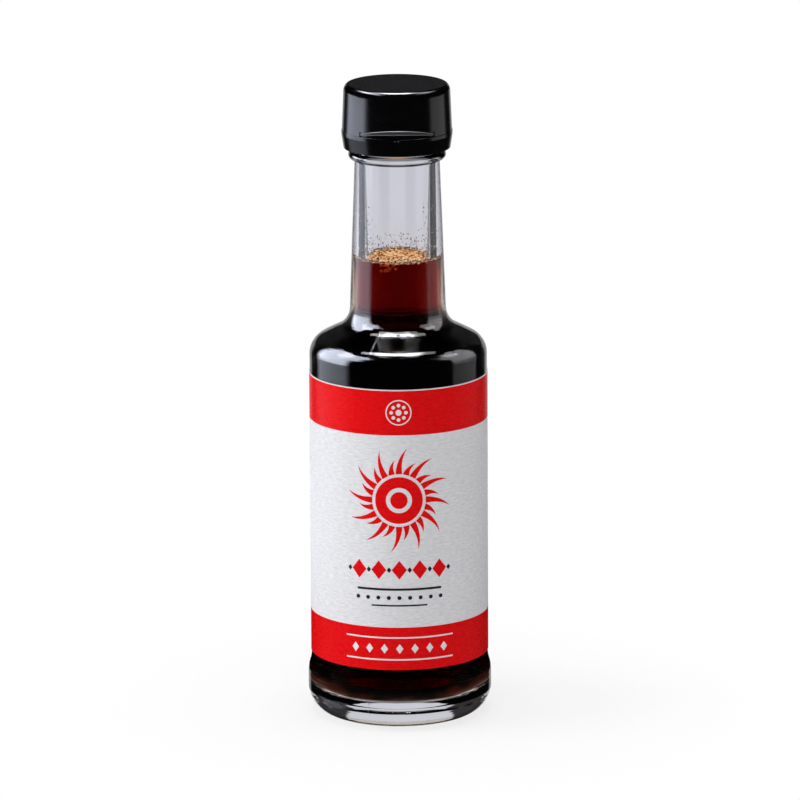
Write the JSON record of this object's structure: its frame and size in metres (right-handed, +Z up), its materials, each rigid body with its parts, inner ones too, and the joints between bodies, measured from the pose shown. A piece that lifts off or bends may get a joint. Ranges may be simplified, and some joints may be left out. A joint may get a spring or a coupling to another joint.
{
  "type": "chili sauce bottle",
  "caption": "Slim clear glass bottle of dark red chili sauce with a long neck, a red and white paper sleeve label and a black cap, shut.",
  "frame": {"origin": "centre of the ring that the bottle stands on, on the surface it rests on", "axes": "+Z up along the bottle's axis; -Y towards the label's front and the thumb tab of the lid; +X to the right seen from the front"},
  "size_m": [0.0554, 0.0554, 0.193],
  "materials": {
    "clear_glass": "polished clear glass",
    "sauce": "dark translucent liquid",
    "label_paper": "laid paper with a printed red and white field",
    "cap_plastic": "gloss black moulded plastic"
  },
  "bodies": {
    "root": {"bottle": "clear_glass", "sauce": "sauce", "label": "label_paper", "cap_collar": "cap_plastic", "cap_lid": "cap_plastic"}
  },
  "joints": []
}
